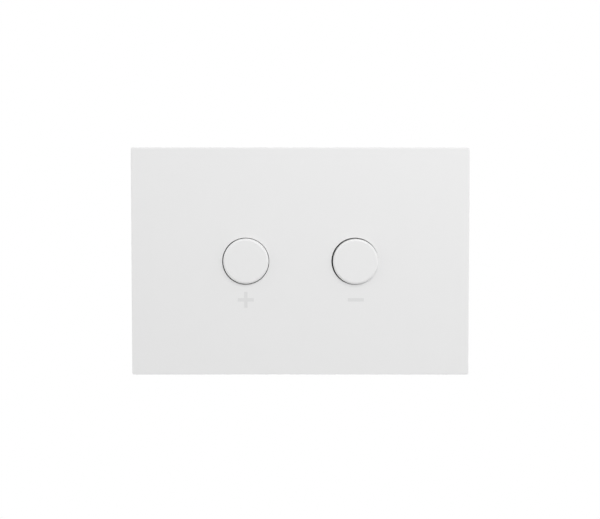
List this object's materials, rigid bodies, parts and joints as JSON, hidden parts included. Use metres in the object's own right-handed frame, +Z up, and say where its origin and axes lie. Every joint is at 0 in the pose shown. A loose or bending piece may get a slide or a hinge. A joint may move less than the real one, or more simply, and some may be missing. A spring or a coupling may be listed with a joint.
{
  "type": "flush button plate",
  "caption": "Rectangular wall plate with round full flush and half flush push buttons, sprung on a guide plate, and a clip-in mounting frame with studs for a concealed cistern.",
  "frame": {"origin": "middle of the plate's rear rim, in the plane of the wall's surface", "axes": "+X to the right as seen from the room, +Y into the wall, +Z up"},
  "size_m": [0.246, 0.081, 0.166],
  "materials": {
    "plate_plastic": "satin white moulded plastic",
    "button_plastic": "satin white moulded plastic",
    "guide_plastic": "black moulded plastic",
    "frame_plastic": "grey moulded plastic with a fine grain",
    "nut_plastic": "natural white moulded plastic",
    "rod_plastic": "pale grey moulded plastic",
    "zinc_steel": "bright zinc plate",
    "spring_steel": "bare drawn wire",
    "tip_rubber": "soft matte rubber"
  },
  "bodies": {
    "plate_body": {"front_plate": "plate_plastic", "guide_plate": "guide_plastic", "guide_screws": "zinc_steel", "mounting_frame": "frame_plastic", "left_fixing_stud": "zinc_steel", "right_fixing_stud": "zinc_steel", "left_wing_nut": "nut_plastic", "right_wing_nut": "nut_plastic", "full_flush_return_spring": "spring_steel", "half_flush_return_spring": "spring_steel"},
    "full_flush_plunger": {"full_flush_button": "button_plastic", "full_flush_stop_washer": "nut_plastic", "full_flush_push_rod": "rod_plastic", "full_flush_lock_nut": "nut_plastic", "full_flush_rod_tip": "tip_rubber"},
    "half_flush_plunger": {"half_flush_button": "button_plastic", "half_flush_stop_washer": "nut_plastic", "half_flush_push_rod": "rod_plastic", "half_flush_lock_nut": "nut_plastic", "half_flush_rod_tip": "tip_rubber"}
  },
  "joints": [
    {"name": "full_flush_press", "type": "slide", "parent": "plate_body", "child": "full_flush_plunger", "axis": [0, 1, 0], "range_m": [0, 0.006], "stiffness_N_per_m": 800, "springref_m": -0.005, "deforming": ["full_flush_return_spring"]},
    {"name": "half_flush_press", "type": "slide", "parent": "plate_body", "child": "half_flush_plunger", "axis": [0, 1, 0], "range_m": [0, 0.006], "stiffness_N_per_m": 800, "springref_m": -0.005, "deforming": ["half_flush_return_spring"]}
  ]
}
